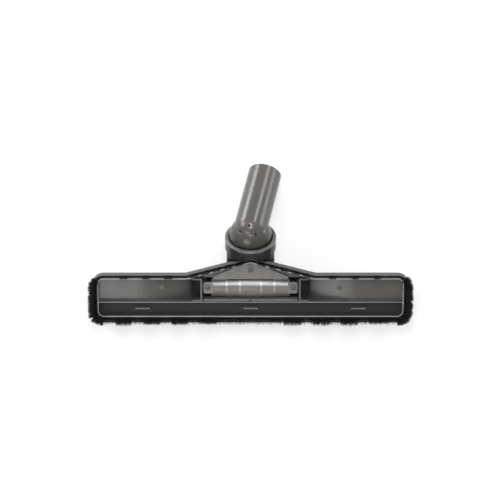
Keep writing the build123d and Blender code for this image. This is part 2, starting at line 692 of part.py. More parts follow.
def main():
    lean = head_tilt()
    head_place = Pos(0, 0, HUMP_RADIUS) * Rot(math.degrees(lean), 0, 0)
    neck_place = Pos(0, 0, HUMP_RADIUS) * Rot(math.degrees(neck_tilt(lean)), 0, 0)
    flap_top = level(RIM_DEPTH) + BRIDGE + FLAP_THICK
    side_screw = Pos(SIDE_SCREW_X, SIDE_SCREW_Y, BULGE_STEPS[-1][1]) * screw(SIDE_SCREW_LENGTH)
    swivel_place = neck_place * collar_frame()
    nodes = {
        "sole_frame": head_place * sole_frame(),
        "top_cover": head_place * top_cover(),
        "pivot_cover": head_place * pivot_cover(),
        "side_screws": head_place * both_sides(side_screw),
        "rear_screw": head_place * Pos(0, REAR_SCREW_AT, flap_top) * screw(REAR_SCREW_LENGTH),
        "neck": neck_place * neck(),
        "retaining_ring": swivel_place * retaining_ring(),
        "elbow": swivel_place * elbow(),
        "swivel_seal": swivel_place * swivel_seal(),
    }
    for name, region in brush_regions().items():
        nodes[f"brush_holder_{name}"] = head_place * holder(region)
        nodes[f"bristles_{name}"] = head_place * bristles(name, region)
    box = Compound(children=[Compound(piece.solids()) for piece in nodes.values()]).bounding_box()
    centre = Pos(-(box.min.X + box.max.X) / 2, -(box.min.Y + box.max.Y) / 2, -box.min.Z)
    os.makedirs("parts", exist_ok=True)
    for name, piece in nodes.items():
        export_step(centre * piece, f"parts/{name}.step")


main()
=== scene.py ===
"""Vacuum floor brush head lying sole up: its finishes, its bristles and a plain studio.

The head's own frame has the tilt axis of the neck as X, +Y to the back and +Z out of the sole. The rim, its
bristles and the marks on the mouldings have their places there, and lie on the floor with the head.
"""

import json
import math
from functools import partial

import bpy
import numpy as np
from bpy.props import FloatProperty, FloatVectorProperty, IntProperty, PointerProperty
from mathutils import Matrix, Vector


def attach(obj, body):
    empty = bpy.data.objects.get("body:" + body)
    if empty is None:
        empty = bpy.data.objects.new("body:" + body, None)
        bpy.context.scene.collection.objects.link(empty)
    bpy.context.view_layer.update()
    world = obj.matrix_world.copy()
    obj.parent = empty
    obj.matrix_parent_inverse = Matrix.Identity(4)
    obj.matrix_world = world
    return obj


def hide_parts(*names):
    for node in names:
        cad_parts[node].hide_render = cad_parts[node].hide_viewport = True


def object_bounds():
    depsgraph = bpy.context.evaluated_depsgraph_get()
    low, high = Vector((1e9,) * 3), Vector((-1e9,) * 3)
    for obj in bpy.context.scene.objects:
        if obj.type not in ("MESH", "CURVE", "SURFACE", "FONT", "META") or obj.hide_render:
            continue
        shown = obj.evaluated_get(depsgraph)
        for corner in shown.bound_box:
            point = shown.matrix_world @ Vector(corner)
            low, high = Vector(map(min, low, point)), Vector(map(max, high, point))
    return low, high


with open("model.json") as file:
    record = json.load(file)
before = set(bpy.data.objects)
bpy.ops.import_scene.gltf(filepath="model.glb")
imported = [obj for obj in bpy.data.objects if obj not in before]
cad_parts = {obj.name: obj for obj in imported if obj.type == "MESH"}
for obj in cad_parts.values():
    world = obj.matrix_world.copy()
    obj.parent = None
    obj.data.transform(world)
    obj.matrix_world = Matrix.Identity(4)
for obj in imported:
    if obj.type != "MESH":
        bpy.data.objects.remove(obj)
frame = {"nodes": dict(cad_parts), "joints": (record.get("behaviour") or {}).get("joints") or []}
cad_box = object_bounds()

bl_info = {
    "name": "Floor brush head",
    "version": (1, 0, 0),
    "blender": (4, 5, 0),
    "location": "View3D > Sidebar > Brush head",
    "description": "Finishes, bristles and studio for a vacuum floor brush head",
    "category": "Object",
}

JOINTS = {joint["name"]: joint for joint in frame["joints"]}
PIVOT = JOINTS["neck_tilt"]["pos_m"]
SWIVEL_AXIS = JOINTS["elbow_swivel"]["axis"]
SIDEWAYS = (1, 0, 0)

ROWS = ("front", "end_left", "rear_left", "apex_left", "end_right", "rear_right", "apex_right")
# First place, pitch and width in metres, and number of the tufts on each side
TUFTS = {
    "front": (0.0465, 0.031, 0.0186, 4),
    "rear": (0.0895, 0.0245, 0.0076, 3),
    "apex": (0.012, 0.0123, 0.008, 5),
}
END_TUFTS = 16
# How far in metres the tips spread out of and into the head, and the row's share of the fibres
SPREAD = {
    "front": (0.0055, 0.0010, 1.5),
    "end": (0.0088, 0.0015, 1.6),
    "rear": (0.0034, -0.0014, 0.2),
    "apex": (0.0030, -0.0008, 0.3),
}
# Share of the front row's fibres that are in its fringe
FRINGE_SHARE = 0.55
# Reach of the tips out of the head, as shares of the spread
TUFT_UNEVEN = 0.16  # lost from tuft to tuft
TUFT_CROWN = 0.5  # lost towards a tuft's sides, by the square of the way from its middle
END_LEAST = 0.55  # what every fibre of an end row has
END_MORE = 0.45  # what its tufts add to that
CORNER_LOSS = 0.4  # lost round the front corner of an end row
FRINGE_REACH = 1.12  # of the short fibres between the front tufts
# Where a tip lies between the inner and the outer side of the spread
RANK_WIDTH = 0.75  # share that follows the fibre's place in its holder
RANK_BLUR = 0.18  # share that is left to chance
RANK_POWER = 0.65  # below 1, so that more tips lie on the outer side
# Height of the fibres, as shares of the row's height
TALLEST = 0.985
FIBRE_SHORTER = 0.16  # lost from fibre to fibre
TUFT_SHORTER = 0.03  # lost from tuft to tuft
FRINGE_HEIGHT = 0.42
# How far in metres the tips drift along the row
FAN_DRIFT = 0.0009  # from one side of a tuft to the other
TUFT_DRIFT = 0.0003  # from tuft to tuft
FIBRE_DRIFT = 0.0003  # from fibre to fibre
# Power of the height that bends a fibre's path, and the share of its radius that is lost at the tip
BEND_POWER = 1.6
TIP_TAPER = 0.55
# Shade of a fibre from 0, dark, to 1, pale: a tone of its own at random, with painted light and painted
# shade on it
SHADE_LEAST = 0.15
SHADE_CHANCE = 0.45
# painted light, paler towards the outer side of the spread
OUTER_PAINTED_LIGHT = 0.4  # added towards the outer side of the spread
# painted shade, darker towards the root
ROOT_PAINTED_SHADE = 0.2  # what is left of it at the root

# Bands in metres over which a mark on a moulding comes in, from none of it to all of it
POCKET_FRONT = (-0.0303, -0.0300)
POCKET_BACK = (-0.0142, -0.0148)
POCKET_TOP = (0.0160, 0.0145)
PIT_INNER = (0.0535, 0.0540)
PIT_OUTER = (0.0675, 0.0655)
PIT_REACH = (0.0120, 0.0116)
PIT_TOP = (0.0110, 0.0080)
RIM_INSIDE = (0.0010, 0.0014)
RIM_LEVEL = (0.0159, 0.0162)
DIVIDER_FRONT = (-0.0152, -0.0149)
DIVIDER_BACK = (-0.0138, -0.0142)
DIVIDER_LEVEL = (0.0148, 0.0152)
HOOK_FRONT = (-0.0270, -0.0265)
HOOK_BACK = (-0.0237, -0.0241)
HOOK_LEVEL = (0.0070, 0.0080)
STEP_FRONT = (-0.0060, -0.0020)
STEP_BACK = (0.0110, 0.0100)
STEP_EDGE = (0.0016, 0.0004)
DOME_BAND = (0.0740, 0.0560)  # from the neck's pivot along the swivel's axis
# How far in metres the steps of the pivot cover lie from its middle
STEP_PLACES = (0.0118, 0.0263)
# Colour of a mark, and how much of it shows
# painted shade, in the front compartment and the pits, and on the elbow's dome near the ring
PAINTED_POCKET_AND_PIT_SHADE = ((0.004, 0.004, 0.004, 1), 0.8)
PAINTED_DOME_SHADE = ((0.008, 0.008, 0.007, 1), 0.9)
# painted highlights, on the inner rim, the divider's edge, the front of the hook tips and the steps' edges
PAINTED_RIM_HIGHLIGHT = ((0.42, 0.41, 0.40, 1), 0.40)
PAINTED_DIVIDER_HIGHLIGHT = ((0.50, 0.49, 0.48, 1), 0.7)
PAINTED_HOOK_HIGHLIGHT = ((0.45, 0.44, 0.43, 1), 0.8)
PAINTED_STEP_HIGHLIGHT = ((0.50, 0.49, 0.48, 1), 0.38)
# What a mark adds to the roughness, or takes off it
POCKET_COARSER = 0.4
LIP_COARSER = 0.35
STEP_SMOOTHER = 0.1

# Moulded pieces by their plastic: colour, nodes, roughness, strength of the mould's grain, specular level
PLASTICS = {
    "sole plastic": ("sole", ["sole_frame"], 0.34, 0.08, 0.7),
    "clamp plastic": ("clamp", ["pivot_cover"], 0.30, 0.04, 1.0),
    "cover plastic": ("cover", ["top_cover"], 0.42, 0.10, 0.3),
    "neck plastic": ("neck", ["neck"], 0.24, 0.06, 0.2),
    "ring plastic": ("ring", ["retaining_ring"], 0.20, 0.04, 1.0),
    "elbow plastic": ("elbow", ["elbow"], 0.25, 0.02, 0.6),
    "holder plastic": ("holder", [f"brush_holder_{row}" for row in ROWS], 0.50, 0.20, 0.5),
    "seal rubber": ("rubber", ["swivel_seal"], 0.60, 0.30, 0.5),
}
# How much the flow marks and the grain change the roughness
CLOUD_GLOSS = 0.16
SPECK_GLOSS = 0.1

# Lamps: place and size in metres, the setting that gives the power, and the share of it that the lamp has
LAMPS = {
    "key": ((0.0, 0.27, 1.05), (0.34, 0.66), "key", 1.0),
    "front": ((-0.44, -0.80, 0.95), (0.65, 0.50), "front", 1.0),
    "strip": ((0.50, 0.84, 0.60), (0.22, 0.50), "strip", 1.0),
    "fill": ((-0.72, 0.40, 0.50), (0.4, 0.4), "fill", 1.0),
    "left panel": ((-0.70, 0.85, 0.16), (0.42, 0.3), "panel", 1.4),
    "right panel": ((1.02, 0.45, 0.18), (0.46, 0.3), "panel", 0.7),
}
# Floor: half its side in metres, grid lines along a side, and how white the camera and reflections see it
FLOOR_HALF = 3.0
FLOOR_LINES = 13
WHITE_SHARE = 0.64


def length(name, description, default):
    """A size in metres that a user may change."""
    return FloatProperty(name=name, description=description, default=default, unit="LENGTH", precision=5)


def angle(name, description, default):
    """An angle that a user may change."""
    return FloatProperty(name=name, description=description, default=default, subtype="ANGLE")


def strength(name, description, default, unit="NONE"):
    """A strength of light that a user may change."""
    return FloatProperty(name=name, description=description, default=default, min=0, unit=unit)


def number(name, description, default, low, high):
    """A number of things that a user may change."""
    return IntProperty(name=name, description=description, default=default, min=low, max=high)


def colour(name, description, default):
    """A linear colour that a user may change."""
    return FloatVectorProperty(
        name=name, description=description, default=default, subtype="COLOR", size=3, min=0, max=1
    )


class RimSizes(bpy.types.PropertyGroup):
    """Middle line of the brush groove in the sole's rim, in the head's own frame."""

    half_length: length("Half length", "From the middle of the head to the groove at its end", 0.1696)
    front_reach: length("Front reach", "From the tilt axis to the front groove", 0.0325)
    back_reach: length("Back reach", "From the tilt axis to the straight back groove", 0.0153)
    apex_reach: length("Apex reach", "From the tilt axis to the point of the back groove", 0.0341)
    apex_half: length("Apex half width", "From the middle to where the back groove starts to point", 0.0706)
    corner_radius: length("Corner radius", "Radius of the groove's corners", 0.0083)
    sole_height: length("Sole height", "From the tilt axis to the sole", 0.0165)
    lean: angle("Lean", "How far the sole leans forward", math.radians(23.0247))
    back_turn: angle("Back turn", "How far an end row runs round the back corner", 0.9)


class BristleSizes(bpy.types.PropertyGroup):
    """Fibres of the brush rows."""

    radius: length("Fibre radius", "Radius of one fibre at its root", 0.0002)
    height: length("Height", "How far the longest fibres stand out of the sole", 0.0115)
    root_drop: length("Root drop", "How far below the sole the fibres start", 0.0024)
    root_width: length("Root width", "Width of the row where it leaves its holder", 0.0014)
    fibres: number("Fibres", "Fibres of a row whose share is 1", 3400, 10, 20000)
    rings: number("Rings", "Rings of points along a fibre", 5, 3, 12)
    sides: number("Sides", "Sides of a fibre", 3, 3, 8)


class FinishColours(bpy.types.PropertyGroup):
    """Colours of the mouldings, bristles and metal."""

    sole: colour("Sole", "Charcoal of the sole frame", (0.056, 0.0535, 0.051))
    clamp: colour("Pivot cover", "Charcoal of the pivot cover", (0.110, 0.106, 0.102))
    cover: colour("Top cover", "Charcoal of the upper housing", (0.070, 0.067, 0.064))
    neck: colour("Neck", "Charcoal of the neck", (0.020, 0.0195, 0.019))
    ring: colour("Ring", "Pale edge of the ring on the collar", (0.075, 0.073, 0.070))
    elbow: colour("Elbow", "Charcoal of the elbow and its tube", (0.060, 0.057, 0.051))
    holder: colour("Holder", "Black of the strips in the groove", (0.02, 0.02, 0.02))
    bristle: colour("Bristle", "Black of the fibres", (0.014, 0.0135, 0.013))
    steel: colour("Steel", "Plated steel of the screws", (0.16, 0.155, 0.15))
    rubber: colour("Rubber", "Black of the seal ring", (0.018, 0.018, 0.018))
    floor: colour("Floor", "Pale floor", (0.93, 0.93, 0.935))


class StudioSettings(bpy.types.PropertyGroup):
    """Camera and lamps."""

    distance: length("Camera distance", "From the camera to the front of the sole", 2.2)
    picture_width: length("Picture width", "Width seen at that distance", 0.55)
    front_place: length("Front place", "From the tilt axis to the point that sets the camera", 0.0308)
    front_drop: length("Front drop", "How far that point lies below the picture's middle", 0.0737)
    side_shift: length("Side shift", "How far the head stands right of the picture's middle", 0.0006)
    tip: angle("Tip", "How far the camera leans to the front", math.radians(5.02))
    room_side: strength("Room sides", "Strength of the room's sides", 0.75)
    room_top: strength("Room ceiling", "Strength of the room's ceiling", 0.6)
    key: strength("Key", "Power of the softbox above the head", 7.0, "POWER")
    front: strength("Front", "Power of the softbox before the head", 3.4, "POWER")
    strip: strength("Strip", "Power of the strip behind the head", 2.4, "POWER")
    fill: strength("Fill", "Power of the softbox above the left end", 3.0, "POWER")
    panel: strength("Panel", "Power of a side panel whose share is 1", 2.5, "POWER")


class Value:
    """A shader socket that can be added, taken away and multiplied in Python."""

    def __init__(self, tree, socket):
        self.tree = tree
        self.socket = socket

    def math(self, operation, first, second):
        return self.tree.add("ShaderNodeMath", {"operation": operation}, {0: first, 1: second})

    def __add__(self, other):
        return self.math("ADD", self, other)

    def __radd__(self, other):
        return self.math("ADD", other, self)

    def __sub__(self, other):
        return self.math("SUBTRACT", self, other)

    def __rsub__(self, other):
        return self.math("SUBTRACT", other, self)

    def __mul__(self, other):
        return self.math("MULTIPLY", self, other)

    def __rmul__(self, other):
        return self.math("MULTIPLY", other, self)

    def __abs__(self):
        return self.math("ABSOLUTE", self, 0)


class Finish:
    """The nodes of a new material or of the room, added one call at a time."""

    def __init__(self, owner):
        self.owner = owner
        owner.use_nodes = True
        self.nodes = owner.node_tree.nodes
        self.links = owner.node_tree.links
        self.nodes.clear()

    def add(self, kind, settings=None, sockets=None, output=0):
        """Adds a node: its settings first, then the values or links of its sockets."""
        node = self.nodes.new(kind)
        for name, setting in (settings or {}).items():
            setattr(node, name, setting)
        for name, value in (sockets or {}).items():
            if isinstance(value, Value):
                self.links.new(value.socket, node.inputs[name])
            else:
                node.inputs[name].default_value = value
        return Value(self, node.outputs[output])

    def noise(self, scale, detail, roughness=0.5, stretch=(1, 1, 1)):
        """Noise on Object coordinates, stretched along the axes."""
        place = self.add("ShaderNodeTexCoord", output="Object")
        place = self.add("ShaderNodeMapping", {"vector_type": "POINT"}, {"Vector": place, "Scale": stretch})
        return self.add(
            "ShaderNodeTexNoise",
            {"noise_dimensions": "3D"},
            {"Vector": place, "Scale": scale, "Detail": detail, "Roughness": roughness},
        )

    def mix(self, share, first, second):
        """Colour between two colours, by a share."""
        return self.add(
            "ShaderNodeMix",
            {"data_type": "RGBA"},
            {"Factor": share, 6: first, 7: second},
            output=2,
        )

    def mark(self, paint, where, shade, share):
        """Paint with a mark on it, which shows by its share where it is."""
        return self.mix(share * where, paint, shade)

    def along(self, direction):
        """How far a point lies from the neck's pivot along a direction, on Object coordinates."""
        place = self.add("ShaderNodeTexCoord", output="Object")
        away = self.add("ShaderNodeVectorMath", {"operation": "SUBTRACT"}, {0: place, 1: PIVOT})
        return self.add(
            "ShaderNodeVectorMath",
            {"operation": "DOT_PRODUCT"},
            {0: away, 1: direction},
            output="Value",
        )

    def between(self, value, low, high):
        """Share that goes from 0 to 1 as a value goes from low to high."""
        return self.add("ShaderNodeMapRange", None, {"Value": value, "From Min": low, "From Max": high})

    def close(self, shader, kind="ShaderNodeOutputMaterial"):
        """Ends the nodes with their shader and gives back what they belong to."""
        end = self.nodes.new(kind)
        self.links.new(shader.socket, end.inputs["Surface"])
        return self.owner


def tint(shade, factor):
    """A colour times a factor, with its alpha."""
    return (*(min(1, factor * c) for c in shade), 1)


def to_back(rim):
    """Direction to the back of the head as it lies on the floor."""
    return (0, math.cos(rim.lean), math.sin(rim.lean))


def out_of_sole(rim):
    """Direction out of the sole as it lies on the floor."""
    return (0, -math.sin(rim.lean), math.cos(rim.lean))


def sole_marks(rim, finish, paint, rough):
    """Front compartment and pits with painted shade and a coarser face, and painted highlights on the inner
    rim and the divider edge.

    The inner rim is what lies inside the brush groove's middle line, at the sole's level. The lip outside
    that line is coarser.
    """
    side = abs(finish.along(SIDEWAYS))
    back = finish.along(to_back(rim))
    up = finish.along(out_of_sole(rim))
    pocket = finish.between(back, *POCKET_FRONT) * finish.between(back, *POCKET_BACK)
    pocket = pocket * finish.between(up, *POCKET_TOP)
    pit = finish.between(side, *PIT_INNER) * finish.between(side, *PIT_OUTER)
    pit = pit * finish.between(abs(back), *PIT_REACH) * finish.between(up, *PIT_TOP)
    painted_shade_mask = pocket + pit
    point = finish.between(side, rim.apex_half, 0) * (rim.apex_reach - rim.back_reach) + rim.back_reach
    inside = finish.between(back + rim.front_reach, *RIM_INSIDE) * finish.between(point - back, *RIM_INSIDE)
    inside = inside * finish.between(rim.half_length - side, *RIM_INSIDE)
    divider = finish.between(back, *DIVIDER_FRONT) * finish.between(back, *DIVIDER_BACK)
    divider = divider * finish.between(up, *DIVIDER_LEVEL)
    # painted shade in the front compartment and the pits
    paint = finish.mark(paint, painted_shade_mask, *PAINTED_POCKET_AND_PIT_SHADE)
    # painted highlight on the inner rim
    paint = finish.mark(paint, inside * finish.between(up, *RIM_LEVEL), *PAINTED_RIM_HIGHLIGHT)
    # painted highlight on the divider's edge
    paint = finish.mark(paint, divider, *PAINTED_DIVIDER_HIGHLIGHT)
    return paint, rough + POCKET_COARSER * painted_shade_mask + LIP_COARSER * (1 - inside)


def hook_marks(rim, finish, paint, rough):
    """Front of the tips of the upper housing's snap hooks, with a painted highlight."""
    back = finish.along(to_back(rim))
    up = finish.along(out_of_sole(rim))
    tip = finish.between(back, *HOOK_FRONT) * finish.between(back, *HOOK_BACK)
    # painted highlight on the front of the hook tips
    return finish.mark(paint, tip * finish.between(up, *HOOK_LEVEL), *PAINTED_HOOK_HIGHLIGHT), rough


def step_marks(rim, finish, paint, rough):
    """Edges of the pivot cover's steps, with a painted highlight, and smoother."""
    side = abs(finish.along(SIDEWAYS))
    back = finish.along(to_back(rim))
    over = finish.between(back, *STEP_FRONT) * finish.between(back, *STEP_BACK)
    inner, outer = (finish.between(abs(side - place), *STEP_EDGE) for place in STEP_PLACES)
    step_edges = (inner + outer) * over
    # painted highlight along the steps' edges, which are also smoother
    return finish.mark(paint, step_edges, *PAINTED_STEP_HIGHLIGHT), rough - STEP_SMOOTHER * step_edges


def swivel_marks(finish, paint, rough):
    """Elbow's dome with painted shade, darker towards the ring that it turns in."""
    near = finish.between(finish.along(SWIVEL_AXIS), *DOME_BAND)
    # painted shade on the dome near the ring
    return finish.mark(paint, near, *PAINTED_DOME_SHADE), rough


def moulded_plastic(name, shade, gloss, grain, shine, marks):
    """Charcoal plastic: cloudy flow marks in the colour, uneven gloss and a fine grain from the mould."""
    finish = Finish(bpy.data.materials.new(name))
    cloud = finish.noise(scale=38, detail=3, roughness=0.55, stretch=(0.45, 1, 1))
    speck = finish.noise(scale=900, detail=2, roughness=0.6)
    paint = finish.mix(cloud, tint(shade, 0.82), tint(shade, 1.2))
    rough = gloss + CLOUD_GLOSS * (cloud - 0.5) + SPECK_GLOSS * (speck - 0.5)
    if marks:
        paint, rough = marks(finish, paint, rough)
    bump = finish.add("ShaderNodeBump", None, {"Strength": grain, "Distance": 0.0002, "Height": speck})
    shader = finish.add(
        "ShaderNodeBsdfPrincipled",
        None,
        {"Base Color": paint, "Roughness": rough, "Normal": bump, "IOR": 1.5, "Specular IOR Level": shine},
    )
    return finish.close(shader)


def brush_fibre(name, shade):
    """Black fibre: each has a tone of its own, with painted light on the outer fibres and painted shade
    towards the root.
    """
    finish = Finish(bpy.data.materials.new(name))
    own = finish.add("ShaderNodeAttribute", {"attribute_name": "shade"}, output="Fac")
    paint = finish.mix(own, tint(shade, 0.5), tint(shade, 2.0))
    smooth, cut = 0.34, 0.2
    rough = smooth + cut * own
    shader = finish.add(
        "ShaderNodeBsdfPrincipled",
        None,
        {"Base Color": paint, "Roughness": rough, "IOR": 1.5, "Specular IOR Level": 0.15},
    )
    return finish.close(shader)


def plated_steel(name, shade):
    """Plated screw steel: turned streaks in the gloss and dull patches in the plating."""
    finish = Finish(bpy.data.materials.new(name))
    patch = finish.noise(scale=700, detail=3, roughness=0.6)
    scratch = finish.noise(scale=2500, detail=2, roughness=0.5, stretch=(1, 0.15, 1))
    paint = finish.mix(patch, tint(shade, 0.6), tint(shade, 1.15))
    smooth, dull, streaked = 0.28, 0.25, 0.1
    rough = smooth + dull * patch + streaked * scratch
    bump = finish.add("ShaderNodeBump", None, {"Strength": 0.15, "Distance": 0.0001, "Height": scratch})
    shader = finish.add(
        "ShaderNodeBsdfPrincipled",
        None,
        {"Base Color": paint, "Roughness": rough, "Normal": bump, "Metallic": 0.9},
    )
    return finish.close(shader)


def pale_floor(name, shade):
    """Pale floor that the camera and reflections see nearly white, with the head's soft shadow on it."""
    finish = Finish(bpy.data.materials.new(name))
    dust = finish.noise(scale=3, detail=2)
    paint = finish.mix(dust, tint(shade, 0.99), tint(shade, 1))
    lit = finish.add("ShaderNodeBsdfDiffuse", None, {"Color": paint})
    white = finish.add("ShaderNodeEmission", None, {"Color": (1, 1, 1, 1), "Strength": 0.94})
    seen = finish.add("ShaderNodeLightPath", output="Is Camera Ray")
    seen = seen + finish.add("ShaderNodeLightPath", output="Is Glossy Ray")
    seen = seen + finish.add("ShaderNodeLightPath", output="Is Transmission Ray")
    return finish.close(finish.add("ShaderNodeMixShader", None, {0: WHITE_SHARE * seen, 1: lit, 2: white}))


def row_line(rim, row, place):
    """Groove's middle line along one row: points in plan, and directions out of the head.

    A place on the front, rear and apex rows is a distance X from the middle of the head; these rows are
    straight. A place on an end row is a share of its run, which turns round the front corner, follows the
    end and turns a little way round the back corner. A left row is the mirror image of the right one.
    """
    if row == "front":
        edge = np.stack([place, np.full_like(place, -rim.front_reach)], -1)
        out = np.broadcast_to([0.0, -1.0], edge.shape)
    elif row.startswith("end"):
        radius = rim.corner_radius
        straight = rim.front_reach + rim.back_reach - 2 * radius
        arc = radius * math.pi / 2
        run = place * (arc + straight + radius * rim.back_turn) - arc
        turn = (np.minimum(run, 0) + np.maximum(run - straight, 0)) / radius
        out = np.stack([np.cos(turn), np.sin(turn)], -1)
        y = radius - rim.front_reach + np.clip(run, 0, straight)
        edge = np.stack([np.full_like(run, rim.half_length - radius), y], -1) + radius * out
    elif row.startswith("rear"):
        edge = np.stack([place, np.full_like(place, rim.back_reach)], -1)
        out = np.broadcast_to([0.0, 1.0], edge.shape)
    else:
        slope = math.atan2(rim.apex_reach - rim.back_reach, rim.apex_half)
        edge = np.stack([place, rim.apex_reach - place * math.tan(slope)], -1)
        out = np.broadcast_to([math.sin(slope), math.cos(slope)], edge.shape)
    side = np.array([-1.0 if row.endswith("left") else 1.0, 1.0])
    return edge * side, out * side


def tuft_places(rim, row, count, chance):
    """Places of the fibres along a row, and each fibre's tuft and share of the way across its tuft.

    A tuft of the front, rear or apex rows fills its width; an end row is one close run of small tufts. The
    last tuft of the front row is its fringe, the short fibres that run the row's whole length.
    """
    across = chance.random(count)
    if row.startswith("end"):
        tuft = chance.integers(0, END_TUFTS, count)
        return (tuft + across) / END_TUFTS, tuft, across
    first, pitch, width, tufts = TUFTS[row.split("_")[0]]
    tuft = chance.integers(0, tufts, count)
    place = first + tuft * pitch + (across - 0.5) * width
    if row == "front":
        side = chance.integers(0, 2, count)
        fringe = chance.random(count) < FRINGE_SHARE
        anywhere = 2 * (across - 0.5) * (rim.half_length - rim.corner_radius)
        place = np.where(fringe, anywhere, place * (2 * side - 1))
        return place, np.where(fringe, 2 * tufts, tuft + tufts * side), np.where(fringe, 0.5, across)
    return place, tuft, across


def lay(rim, points):
    """Points of the head's own frame, laid on the floor: turned by the lean, then moved to the pivot."""
    x, y, z = np.moveaxis(points, -1, 0)
    cos, sin = math.cos(rim.lean), math.sin(rim.lean)
    return np.stack([x, y * cos - z * sin, y * sin + z * cos], -1) + np.array(PIVOT)


def fibre_rings(sizes, step, tangent, out, start):
    """Level rings of points round each fibre: circles whose radius falls by the square of the way up."""
    around = np.arange(sizes.sides) * 2 * np.pi / sizes.sides
    around = around[None, None, :] + start[:, None, None]
    radius = (sizes.radius * (1 - TIP_TAPER * step**2))[..., None]
    level = np.zeros((len(start), 1, 1, 1))
    along_axis = np.concatenate([tangent[:, None, None, :], level], -1)
    across_axis = np.concatenate([out[:, None, None, :], level], -1)
    along = (radius * np.cos(around))[..., None] * along_axis
    return along + (radius * np.sin(around))[..., None] * across_axis


def fibre_faces(count, rings, sides):
    """Walls between the rings of each fibre, and a cap at its root and its tip.

    A ring's points run clockwise, seen from the tip, and the faces are ordered so that they point outwards.
    """
    corner = np.arange(sides)
    ring = np.arange(rings - 1)[:, None] * sides
    low = (ring + corner).ravel()
    low_next = (ring + (corner + 1) % sides).ravel()
    wall = np.stack([low, low + sides, low_next + sides, low_next], -1)
    caps = np.stack([corner, corner[::-1] + (rings - 1) * sides])
    first = (np.arange(count) * rings * sides)[:, None, None]
    return [(first + wall).reshape(-1, 4), (first + caps).reshape(-1, sides)]


def bristle_row(rim, sizes, row, seed):
    """Fibres of one row as (points, faces, shade).

    A fibre is a thin tube: its path leaves the groove upright and bends across the row by a power of its
    height, its radius falls from root to tip, and the tips of a tuft spread out along the row.
    """
    chance = np.random.default_rng(seed)
    kind = row.split("_")[0]
    outward, inward, share = SPREAD[kind]
    count = int(sizes.fibres * share)
    place, tuft, across = tuft_places(rim, row, count, chance)
    edge, out = row_line(rim, row, place)
    tangent = np.stack([-out[:, 1], out[:, 0]], -1)
    fringe = (tuft == tuft.max()) & (kind == "front")

    habit = chance.normal(0, 1, (tuft.max() + 1, 3))[tuft]
    reach = 1 - TUFT_UNEVEN * np.abs(habit[:, 0]) - TUFT_CROWN * np.abs(across - 0.5) ** 2
    if kind == "end":
        reach = (END_LEAST + END_MORE * reach) * (1 - CORNER_LOSS * np.minimum(out[:, 1], 0) ** 2)
    reach = np.where(fringe, FRINGE_REACH, reach)
    root = (chance.random(count) - 0.5) * sizes.root_width
    rank = 0.5 + RANK_WIDTH * root / sizes.root_width + chance.normal(0, RANK_BLUR, count)
    rank = np.clip(rank, 0, 1) ** RANK_POWER
    tip = -inward + (inward + outward * reach) * rank
    rise = TALLEST - FIBRE_SHORTER * chance.random(count) ** 2 - TUFT_SHORTER * np.abs(habit[:, 1])
    rise = sizes.height * rise * np.where(fringe, FRINGE_HEIGHT, 1)
    drift = FAN_DRIFT * (across - 0.5) + TUFT_DRIFT * habit[:, 2] + chance.normal(0, FIBRE_DRIFT, count)

    step = np.linspace(0, 1, sizes.rings)[None, :]
    height = -sizes.root_drop + (rise[:, None] + sizes.root_drop) * step
    bend = np.clip(height / rise[:, None], 0, 1) ** BEND_POWER
    outset = root[:, None] + (tip - root)[:, None] * bend
    plan = edge[:, None, :] + outset[..., None] * out[:, None, :]
    plan = plan + (drift[:, None] * bend)[..., None] * tangent[:, None, :]
    centre = np.concatenate([plan, (rim.sole_height + height)[..., None]], -1)
    rings = fibre_rings(sizes, step, tangent, out, chance.random(count) * 2 * np.pi)
    points = lay(rim, (centre[:, :, None, :] + rings).reshape(-1, 3))

    # a tone of its own at random, with painted light towards the outer side and painted shade towards the
    # root
    own = SHADE_LEAST + SHADE_CHANCE * chance.random(count) + OUTER_PAINTED_LIGHT * rank**3
    shade = own[:, None] * (ROOT_PAINTED_SHADE + (1 - ROOT_PAINTED_SHADE) * step**2)
    return points, fibre_faces(count, sizes.rings, sizes.sides), shade.repeat(sizes.sides, axis=1).ravel()


def new_piece(name, points, faces, material, shade=None):
    """A mesh object at the origin from points and arrays of faces, each array with one face size."""
    mesh = bpy.data.meshes.new(name)
    mesh.vertices.add(len(points))
    mesh.vertices.foreach_set("co", np.ascontiguousarray(points, np.float32).ravel())
    sizes = np.concatenate([np.full(len(f), f.shape[1]) for f in faces])
    corners = np.concatenate([f.ravel() for f in faces])
    mesh.loops.add(len(corners))
    mesh.loops.foreach_set("vertex_index", corners.astype(np.int32))
    mesh.polygons.add(len(sizes))
    starts = np.concatenate([[0], np.cumsum(sizes)[:-1]])
    mesh.polygons.foreach_set("loop_start", starts.astype(np.int32))
    mesh.polygons.foreach_set("use_smooth", np.ones(len(sizes), bool))
    if shade is not None:
        layer = mesh.attributes.new("shade", "FLOAT", "POINT")
        layer.data.foreach_set("value", shade.astype(np.float32))
    mesh.update(calc_edges=True)
    if mesh.validate():
        raise RuntimeError(f"{name} has faces that Blender had to mend")
    mesh.materials.append(material)
    piece = bpy.data.objects.new(name, mesh)
    bpy.context.scene.collection.objects.link(piece)
    return piece


def dress(nodes, material):
    """Gives CAD nodes a finish."""
    for node in nodes:
        slots = frame["nodes"][node].data.materials
        slots.clear()
        slots.append(material)


class BRUSH_OT_mouldings(bpy.types.Operator):
    """Give the moulded pieces their charcoal plastics"""

    bl_idname = "brush.mouldings"
    bl_label = "Finish the mouldings"

    def execute(self, context):
        shades = context.scene.brush_colours
        rim = context.scene.brush_rim
        marks = {
            "sole plastic": partial(sole_marks, rim),
            "clamp plastic": partial(step_marks, rim),
            "cover plastic": partial(hook_marks, rim),
            "elbow plastic": swivel_marks,
        }
        for name, (shade, nodes, gloss, grain, shine) in PLASTICS.items():
            plastic = moulded_plastic(name, getattr(shades, shade), gloss, grain, shine, marks.get(name))
            dress(nodes, plastic)
        return {"FINISHED"}


